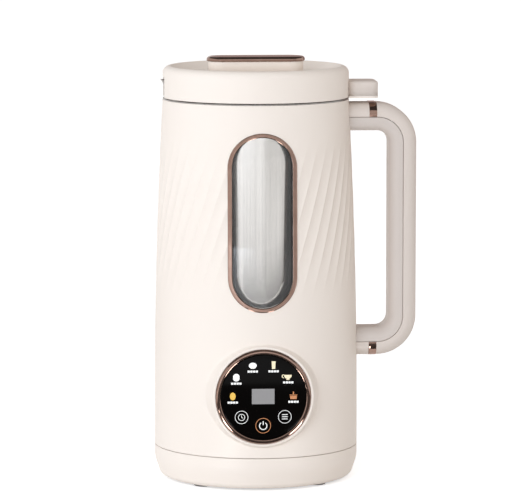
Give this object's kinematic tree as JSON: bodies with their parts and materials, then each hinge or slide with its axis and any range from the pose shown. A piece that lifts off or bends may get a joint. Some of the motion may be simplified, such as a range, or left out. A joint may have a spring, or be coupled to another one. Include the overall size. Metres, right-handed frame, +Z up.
{
  "type": "nut milk maker",
  "caption": "Tall tapered countertop blender pot with a D-shaped handle, capsule window, round touch panel, fluted sides and a lift-off lid over a heated cup with blades.",
  "frame": {"origin": "on the cup's axis, on the surface that the feet stand on", "axes": "+Z up along the cup's axis, -Y is the front with the window and touch panel, +X is the handle"},
  "size_m": [0.1579, 0.1269, 0.2555],
  "materials": {
    "bearing_steel": "bright",
    "blade_steel": "ground",
    "board_green": "solder mask",
    "bracket_plastic": "heat-proof plastic",
    "bronze_bush": "sintered",
    "carbon": "matt",
    "cast_aluminium": "as cast",
    "clear_lens": "clear",
    "copper_bars": "turned",
    "copper_wire": "enamelled wire",
    "cream_base": "satin",
    "cream_handle": "satin",
    "cream_lid": "semi-gloss",
    "cream_shell": "satin",
    "cup_steel": "brushed",
    "damper_rubber": "matt",
    "dark_gasket": "matt",
    "display_face": "matt",
    "fan_plastic": "matt",
    "foot_rubber": "matt",
    "inlet_plastic": "matt",
    "lamination_steel": "varnished laminations",
    "liner_plastic": "satin",
    "magnet_metal": "nickel plated",
    "panel_glass": "black glass with printed keys",
    "panel_plastic": "matt",
    "pin_metal": "nickel plated",
    "probe_steel": "bright",
    "rose_gold": "polished rose-gold plating",
    "screw_steel": "zinc plated",
    "seal_rubber": "matt silicone",
    "shaft_steel": "ground",
    "touch_spring": "bright"
  },
  "bodies": {
    "housing": {"outer_shell": "cream_shell", "window_trim": "rose_gold", "window_lens": "clear_lens", "window_gasket": "dark_gasket", "inner_cup": "cup_steel", "rim_ring": "cup_steel", "overflow_probe": "probe_steel", "probe_gasket": "seal_rubber", "panel_bezel": "rose_gold", "panel_glass": "panel_glass", "panel_housing": "panel_plastic", "panel_board": "board_green", "touch_pads": "touch_spring", "display_module": "display_face", "handle_outer": "cream_handle", "handle_inner": "cream_handle", "handle_bands": "rose_gold", "handle_screws": "screw_steel", "heater_plate": "cast_aluminium", "heater_element": "probe_steel", "temperature_probe": "probe_steel", "thermal_cutout": "panel_plastic", "seal_housing": "cup_steel", "housing_nut": "screw_steel", "shaft_seal": "seal_rubber", "motor_dampers": "damper_rubber", "motor_screws": "screw_steel", "upper_bracket": "cast_aluminium", "motor_bearing": "bearing_steel", "stator_core": "lamination_steel", "field_coils": "copper_wire", "shaft_bushes": "bronze_bush", "stator_bolts": "screw_steel", "carbon_brushes": "carbon", "lower_bracket": "bracket_plastic", "support_ring": "bracket_plastic", "base_cover": "cream_base", "base_screws": "screw_steel", "rubber_feet": "foot_rubber", "power_inlet": "inlet_plastic", "inlet_pins": "pin_metal", "main_board": "board_green", "reed_switch": "panel_plastic"},
    "lid": {"lid_cover": "cream_lid", "tab_cover": "cream_lid", "tab_magnet": "magnet_metal", "lid_liner": "liner_plastic", "lid_seal": "seal_rubber", "lid_screws": "screw_steel", "lid_grip": "cream_lid", "grip_trim": "rose_gold"},
    "rotor": {"drive_shaft": "shaft_steel", "blade_spacers": "blade_steel", "lower_blade": "blade_steel", "upper_blade": "blade_steel", "cap_nut": "blade_steel", "rotor_core": "lamination_steel", "rotor_windings": "copper_wire", "commutator": "copper_bars", "cooling_fan": "fan_plastic"}
  },
  "joints": [
    {"name": "lid_lift", "type": "slide", "parent": "housing", "child": "lid", "axis": [0, 0, 1], "range_m": [0, 0.06]},
    {"name": "blade_spin", "type": "hinge", "parent": "housing", "child": "rotor", "pos_m": [0, 0, 0.1], "axis": [0, 0, 1], "continuous": true}
  ]
}
